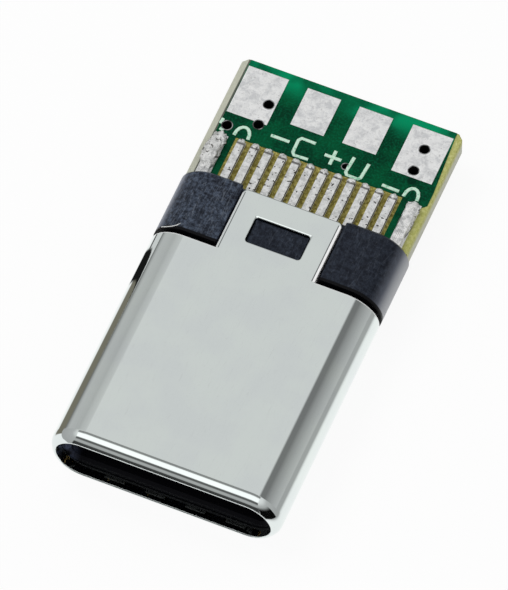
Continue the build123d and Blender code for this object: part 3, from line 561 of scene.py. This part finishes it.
# Painted shade darkens the solder near the land, at the foot of each lump.
foot_shade = remap(tree, height, LAND_TOP + FOOT_FULL_UP, LAND_TOP + FOOT_END_UP, 0.8, 0.0)
color = blend_colors(tree, foot_shade, color, FLUX_AND_SHADE_COLOR)
tree.links.new(color, shader.inputs["Base Color"])
tree.links.new(remap(tree, frost, 0.0, 1.0, 0.26, 0.46), shader.inputs["Roughness"])
relief(tree, shader, noise_value(tree, point, 12.0, detail=4.0), 0.02)


def mesh_from(name, shape):
    """The mesh of a finished bmesh, which is freed."""
    mesh_data = bpy.data.meshes.new(name)
    shape.to_mesh(mesh_data)
    shape.free()
    return mesh_data


def new_piece(name, mesh_data, material):
    """Puts a finished mesh in the scene as a piece that belongs to the plug."""
    piece = bpy.data.objects.new(name, mesh_data)
    bpy.context.scene.collection.objects.link(piece)
    mesh_data.materials.clear()
    mesh_data.materials.append(material)
    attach(piece, "root")
    return piece


def solder_lump(shape, middle, radii, roughness, grain, side=1):
    """An uneven lump that lies flat on the board's face. Side -1 puts it on the underside."""
    lump = bmesh.ops.create_icosphere(shape, subdivisions=4, radius=1)["verts"]
    for vertex in lump:
        direction = vertex.co.copy()
        place = direction * grain + Vector(middle) * SWELL_STEP
        swell = 1 + roughness * noise.fractal(place, SWELL_ROUGHNESS, SWELL_OCTAVE_STEP, SWELL_OCTAVES)
        spot = Vector(middle) + Vector([part * radius * swell for part, radius in zip(direction, radii)])
        spot.z = max(spot.z, LAND_TOP) * side
        vertex.co = spot * MM
    if side < 0:
        bmesh.ops.reverse_faces(shape, faces=list({face for vertex in lump for face in vertex.link_faces}))


def solder_piece(name, shape):
    for face in shape.faces:
        face.smooth = True
    return new_piece(name, mesh_from(name, shape), solder)


# The seed makes the lumps stray from their tails' middles in the same way in each run.
noise.seed_set(LUMP_SEED)
for row, side in (("upper", 1), ("lower", -1)):
    lumps = bmesh.new()
    for number in range(CONTACTS_IN_A_ROW):
        tail_x = (number - (CONTACTS_IN_A_ROW - 1) / 2) * TAIL_PITCH
        wander = noise.noise_vector(Vector((number * WANDER_STEP, side, WANDER_HEIGHT)))
        middle = (tail_x + LUMP_WANDER * wander.x,
                  TAIL_END + LUMP_BEHIND_TAIL + LUMP_WANDER_ALONG * wander.y, LAND_TOP + LUMP_LIFT)
        radii = (LUMP_RADII[0] + LUMP_WANDER * wander.z, LUMP_RADII[1] + LUMP_WANDER * wander.x,
                 LUMP_RADII[2])
        solder_lump(lumps, middle, radii, LUMP_ROUGHNESS, LUMP_GRAIN, side)
    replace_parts(solder_piece(f"{row}_solder_lumps", lumps), f"{row}_tail_solder")

coats = bmesh.new()
for across, along, lift, radii, roughness, grain in COAT_LUMPS:
    solder_lump(coats, (across, along, LAND_TOP + lift), radii, roughness, grain)
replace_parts(solder_piece("ground_solder_coats", coats), "ground_solder")

# The printed marks are white ink on the mask. They only say which pad is which, with plain signs:
# dashes, brackets, a plus, two arches and bits of a ring round one hole. Their places are from the
# middle of the board and back from the tails' ends.
INK_COLOR = (0.60, 0.83, 0.68)
INK_THICK_COLOR = (0.62, 0.84, 0.69)
INK_THIN_COLOR = (0.10, 0.42, 0.24)
INK_WIDTH = 0.125
INK_HEIGHT = 0.012
ARCH_STEPS = 8
ink, tree, shader = finish("white_ink", INK_COLOR, roughness=0.7, specular=0.2)
point = place_in_mm(tree)
thin = remap(tree, noise_value(tree, point, 7.0, detail=5.0, roughness=0.7), 0.50, 0.64, 0.0, 0.75)
tree.links.new(blend_colors(tree, thin, INK_THICK_COLOR, INK_THIN_COLOR), shader.inputs["Base Color"])


def arch(x, y, width, height):
    """The points of an arch that opens towards the plug."""
    angles = [step * math.pi / ARCH_STEPS for step in range(ARCH_STEPS + 1)]
    return [(x - width / 2 * math.cos(angle), y + height * math.sin(angle) ** 0.8) for angle in angles]


def rod_mesh(name, points, thickness, end_radius=1.0):
    """The mesh of a round rod along points in millimetres. It may taper at its last point."""
    curve = bpy.data.curves.new(name, "CURVE")
    curve.dimensions = "3D"
    curve.bevel_depth = thickness / 2
    curve.bevel_resolution = 2
    curve.use_fill_caps = True
    line = curve.splines.new("POLY")
    line.points.add(len(points) - 1)
    for curve_point, spot in zip(line.points, points):
        curve_point.co = (*spot, 1)
    line.points[-1].radius = end_radius
    holder = bpy.data.objects.new(name, curve)
    rod = bpy.data.meshes.new_from_object(holder)
    bpy.data.objects.remove(holder)
    return rod


INK_STROKES = [
    [(-1.97, 0.75), (-1.30, 0.75)],
    [(-0.46, 1.03), (-0.97, 1.04), (-1.05, 0.93), (-1.04, 0.43), (-0.96, 0.33), (-0.46, 0.35)],
    [(-0.02, 0.75), (0.58, 0.75)],
    [(0.28, 0.45), (0.28, 1.03)],
    [(0.94, 1.03), (0.89, 0.40), (0.96, 0.30), (1.36, 0.29), (1.44, 0.37), (1.49, 0.98)],
    [(2.20, 0.40), (2.82, 0.38)],
    [(-3.70, 0.75), (-3.72, 0.53)],
    [(-3.66, 0.35), (-3.52, 0.31)],
    arch(-2.87, 0.28, 0.50, 0.42),
    arch(3.27, 0.26, 0.48, 0.42),
]
marks = bmesh.new()
for stroke in INK_STROKES:
    ribbon = rod_mesh("stroke", [(across, TAIL_END + behind, 0) for across, behind in stroke], INK_WIDTH)
    first_vertex = len(marks.verts)
    marks.from_mesh(ribbon)
    marks.verts.ensure_lookup_table()
    for vertex in marks.verts[first_vertex:]:
        flat = vertex.co.z * INK_HEIGHT / (INK_WIDTH / 2)
        vertex.co = Vector((vertex.co.x, vertex.co.y, MASK_TOP + flat)) * MM
new_piece("printed_marks", mesh_from("printed_marks", marks), ink)

# The burr is a fine sliver of steel, torn off the shell's cut rear edge. It curls over the left
# shoulder of the rear housing, and ends in a point.
BURR_POINTS = [(-3.84, 8.86, 0.79), (-3.74, 8.84, 0.90), (-3.60, 8.83, 1.015), (-3.44, 8.85, 1.11),
               (-3.30, 8.93, 1.155), (-3.20, 9.05, 1.185)]
BURR_THICKNESS = 0.035
BURR_END_SHARE = 0.3
burr_mesh = rod_mesh("burr", BURR_POINTS, BURR_THICKNESS, end_radius=BURR_END_SHARE)
for vertex in burr_mesh.vertices:
    vertex.co = vertex.co * MM
new_piece("shell_burr", burr_mesh, steel)

# The plug lies on a white sheet. The camera sees the sheet as white with a faint shadow. The
# bright steel sees it white close by, and grey or olive further off, where the table is bare and
# one dark thing lies.
SHEET_SIZE = 600
SHEET_SHOWN = 0.92
SHEET_DROP = 0.02
SHEET_COLOR = (1.0, 1.0, 1.0)
SHEET_LIT_COLOR = (0.9, 0.9, 0.9)
RIGHT_TABLE_COLOR = (0.42, 0.42, 0.42)
LEFT_TABLE_COLOR = (0.205, 0.190, 0.150)
FAR_LEFT_COLOR = (0.70, 0.70, 0.70)
DARK_THING_COLOR = (0.01, 0.01, 0.01)
# Each pair is where a stretch starts and where it is full, or the two edges of a dark one.
RIGHT_TABLE = (6.4, 10.5)
LEFT_TABLE = (-6.2, -7.2)
LEFT_TABLE_BEHIND = (0.6, 1.3)
FAR_LEFT = (6.2, 6.5)
DARK_LINE = (-7.9, -6.5)
NEAR_LEFT = (-5.0, -5.4)
DARK_THING = (5.05, 6.45)
sheet_grid = bmesh.new()
bmesh.ops.create_grid(sheet_grid, x_segments=1, y_segments=1, size=SHEET_SIZE / 2 * MM,
                      matrix=Matrix.Translation((0, 0, packed_box[0][2] - SHEET_DROP * MM)))
sheet_mesh = mesh_from("sheet", sheet_grid)
sheet = bpy.data.objects.new("sheet", sheet_mesh)
bpy.context.scene.collection.objects.link(sheet)
white_sheet = bpy.data.materials.new("white_sheet")
white_sheet.use_nodes = True
tree = white_sheet.node_tree
tree.nodes.clear()
x, y = split(tree, place_in_mm(tree))[:2]
on_left = calculate(tree, "MULTIPLY", remap(tree, x, *LEFT_TABLE), remap(tree, y, *LEFT_TABLE_BEHIND))
table_color = blend_colors(tree, remap(tree, x, *RIGHT_TABLE), SHEET_COLOR, RIGHT_TABLE_COLOR)
table_color = blend_colors(tree, on_left, table_color, LEFT_TABLE_COLOR)
slant = calculate(tree, "ADD", y, calculate(tree, "MULTIPLY", x, 0.5))
past_end = calculate(tree, "MULTIPLY", on_left, remap(tree, slant, *FAR_LEFT))
table_color = blend_colors(tree, past_end, table_color, FAR_LEFT_COLOR)
dark_line = calculate(tree, "MULTIPLY", past_end, within(tree, x, *DARK_LINE, 0.4))
near_side = remap(tree, x, *NEAR_LEFT)
dark_thing = calculate(tree, "MULTIPLY", near_side, within(tree, slant, *DARK_THING, 0.2))
dark = calculate(tree, "MAXIMUM", dark_line, dark_thing)
table_color = blend_colors(tree, dark, table_color, DARK_THING_COLOR)
rays = add(tree, "ShaderNodeLightPath")
lit = add(tree, "ShaderNodeBsdfDiffuse", {"Color": (*SHEET_LIT_COLOR, 1)})
shown = add(tree, "ShaderNodeEmission", {"Color": (*SHEET_COLOR, 1), "Strength": 1.0})
mirrored = add(tree, "ShaderNodeEmission", {"Color": table_color, "Strength": 1.0})
camera_share = calculate(tree, "MULTIPLY", rays.outputs["Is Camera Ray"], SHEET_SHOWN)
surface = add(tree, "ShaderNodeMixShader", {0: camera_share, 1: lit.outputs[0], 2: shown.outputs[0]})
surface = add(tree, "ShaderNodeMixShader", {0: rays.outputs["Is Glossy Ray"], 1: surface.outputs[0],
                                            2: mirrored.outputs[0]})
add(tree, "ShaderNodeOutputMaterial", {"Surface": surface.outputs[0]})
sheet_mesh.materials.append(white_sheet)

# The light is a white tent, even from all round. What the steel mirrors is its wall, bright
# overhead and grey at its sides, with panels and gaps in two narrow stretches. These draw the
# streaks along the shell's front edge and along its round sides.
SKY_LEVEL = 0.62
LOW_SKY_LEVEL = 0.85
FRONT_STRETCH = [(-30, 0.72), (-23, 0.72), (-19, 0.25), (-12, 0.30), (-7, 1.20), (21, 1.25), (26, 0.20),
                 (30, 0.10), (37, 0.14), (43, 0.46), (57, 0.44), (62, 0.06), (82, 0.03), (90, 0.3)]
SIDE_STRETCH = [(-180, 0.90), (-95, 0.18), (-88, 0.20), (-81, 0.42), (-74, 0.53), (-55, 0.51), (-40, 0.48),
                (-26, 0.58), (-15, 0.72), (18, 0.73), (24, 0.20), (38, 0.20), (50, 0.32), (70, 0.44),
                (88, 0.52), (97, 0.42), (180, 0.90)]
TENT_BY_HEIGHT = [(-90, 0.80), (-5, 0.60), (0, 0.42), (40, 0.50), (55, 0.80), (75, 0.95), (90, 0.90)]
SIDE_STRETCH_BEHIND = (0.34, 0.61)
FRONT_STRETCH_ACROSS = (-0.55, 0.42)
FRONT_STRETCH_BEHIND = (0.43, 0.38)
WHITE = (1, 1, 1, 1)
world = bpy.data.worlds.new("tent")
bpy.context.scene.world = world
world.use_nodes = True
tree = world.node_tree
tree.nodes.clear()
toward_x, toward_y, toward_z = split(tree, add(tree, "ShaderNodeTexCoord").outputs["Generated"])


def level_by_angle(tree, angle, levels):
    """The wall's brightness at an angle, from a list of angles in degrees and levels."""
    first, last = levels[0][0], levels[-1][0]
    share = remap(tree, angle, math.radians(first), math.radians(last), smooth=False)
    curve_node = add(tree, "ShaderNodeFloatCurve", {"Value": share})
    curve_node.mapping.extend = "HORIZONTAL"
    curve_node.mapping.use_clip = False
    curve = curve_node.mapping.curves[0]
    curve.points[0].location = (0.0, levels[0][1])
    curve.points[-1].location = (1.0, levels[-1][1])
    for degrees, level in levels[1:-1]:
        curve.points.new((degrees - first) / (last - first), level)
    for curve_point in curve.points:
        curve_point.handle_type = "VECTOR"
    curve_node.mapping.update()
    return curve_node.outputs["Value"]


forwards = calculate(tree, "MULTIPLY", toward_y, -1.0)
upwards = calculate(tree, "ARCSINE", toward_z)
level = level_by_angle(tree, upwards, TENT_BY_HEIGHT)
side_level = level_by_angle(tree, calculate(tree, "ARCTAN2", toward_x, toward_z), SIDE_STRETCH)
level = blend_values(tree, within(tree, toward_y, *SIDE_STRETCH_BEHIND, 0.06), level, side_level)
front_level = level_by_angle(tree, calculate(tree, "ARCTAN2", forwards, toward_z), FRONT_STRETCH)
in_front = calculate(tree, "MULTIPLY", within(tree, toward_x, *FRONT_STRETCH_ACROSS, 0.05),
                     remap(tree, toward_y, *FRONT_STRETCH_BEHIND))
level = blend_values(tree, in_front, level, front_level)
rays = add(tree, "ShaderNodeLightPath")
low_down = remap(tree, calculate(tree, "ABSOLUTE", toward_z), 0.1, 0.6, LOW_SKY_LEVEL, SKY_LEVEL)
even = add(tree, "ShaderNodeBackground", {"Color": WHITE, "Strength": low_down})
walls = add(tree, "ShaderNodeBackground", {"Color": WHITE, "Strength": level})
backdrop = add(tree, "ShaderNodeBackground", {"Color": WHITE, "Strength": 1.0})
surface = add(tree, "ShaderNodeMixShader", {0: rays.outputs["Is Glossy Ray"], 1: even.outputs[0],
                                            2: walls.outputs[0]})
surface = add(tree, "ShaderNodeMixShader", {0: rays.outputs["Is Camera Ray"], 1: surface.outputs[0],
                                            2: backdrop.outputs[0]})
add(tree, "ShaderNodeOutputWorld", {"Surface": surface.outputs[0]})

# A black card stands round the right end of the mouth. Only the bright steel sees it: it draws
# the black wedge at the shell's right front corner. It is thin towards its top, so that its
# reflection fades out softly.
PAPER_COLOR = (0.004, 0.004, 0.004)
CARD_MIDDLE = Vector((3.4, 0.25, packed_box[0][2] / MM))
CARD_RADIUS = 8.0
CARD_HEIGHT = 8.4
CARD_FADE_START = 4.4
CARD_START = math.radians(-64)
CARD_SWEEP = math.radians(60)
CARD_STEPS = 16
card_bmesh = bmesh.new()
card_foot = CARD_MIDDLE + CARD_RADIUS * Vector((math.cos(CARD_START), math.sin(CARD_START), 0))
foot = card_bmesh.verts.new(card_foot * MM)
head = card_bmesh.verts.new((card_foot + Vector((0, 0, CARD_HEIGHT))) * MM)
upright = card_bmesh.edges.new((foot, head))
bmesh.ops.spin(card_bmesh, geom=[foot, head, upright], cent=CARD_MIDDLE * MM, axis=(0, 0, 1),
               angle=CARD_SWEEP, steps=CARD_STEPS)
card_mesh = mesh_from("black_card", card_bmesh)
card = bpy.data.objects.new("black_card", card_mesh)
bpy.context.scene.collection.objects.link(card)
card.visible_camera = False
card.visible_diffuse = False
card.visible_shadow = False
black_paper, tree, shader = finish("black_paper", PAPER_COLOR, roughness=0.9, specular=0.0)
height = calculate(tree, "SUBTRACT", split(tree, place_in_mm(tree))[2], CARD_MIDDLE.z)
thick = remap(tree, height, CARD_FADE_START, CARD_HEIGHT, 1.0, 0.0)
tree.links.new(thick, shader.inputs["Alpha"])
card_mesh.materials.append(black_paper)

# One soft lamp hangs above the plug and to its left. It draws the faint shadow on the sheet, and
# the steel doesn't mirror it.
LAMP_PLACE = Vector((-220, 60, 330)) * MM
LAMP_SIZE = 200
LAMP_ENERGY = 0.5
lamp_data = bpy.data.lights.new("soft_lamp", "AREA")
lamp_data.size = LAMP_SIZE * MM
lamp_data.energy = LAMP_ENERGY
lamp = bpy.data.objects.new("soft_lamp", lamp_data)
bpy.context.scene.collection.objects.link(lamp)
lamp.location = LAMP_PLACE
lamp.rotation_euler = LAMP_PLACE.to_track_quat("Z", "Y").to_euler()
lamp.visible_glossy = False

# The camera looks down on the plug from in front and a little to the right of its mouth, from
# far off with a long lens.
AZIMUTH = math.radians(22.93)
ELEVATION = math.radians(58.96)
DISTANCE = 333.3
PIVOT = Vector((0, 9, 0)) * MM
AIM_RIGHT = -0.5105
AIM_UP = -0.682
LENS = 611.5
SENSOR_WIDTH = 36
NEAREST_SEEN = 10
right = Vector((math.cos(AZIMUTH), math.sin(AZIMUTH), 0))
back = Vector((math.sin(AZIMUTH) * math.cos(ELEVATION), -math.cos(AZIMUTH) * math.cos(ELEVATION),
               math.sin(ELEVATION)))
up = back.cross(right)
eye = PIVOT + back * DISTANCE * MM
aim = PIVOT + right * AIM_RIGHT * MM + up * AIM_UP * MM
view = (eye - aim).normalized()
view_right = (right - view * right.dot(view)).normalized()
view_up = view.cross(view_right)
camera_data = bpy.data.cameras.new("camera")
camera_data.lens = LENS
camera_data.sensor_width = SENSOR_WIDTH
camera_data.clip_start = NEAREST_SEEN * MM
camera = bpy.data.objects.new("camera", camera_data)
bpy.context.scene.collection.objects.link(camera)
camera.matrix_world = Matrix((
    (view_right.x, view_up.x, view.x, eye.x), (view_right.y, view_up.y, view.y, eye.y),
    (view_right.z, view_up.z, view.z, eye.z), (0, 0, 0, 1)))
bpy.context.scene.camera = camera
bpy.context.scene.view_settings.view_transform = "Standard"
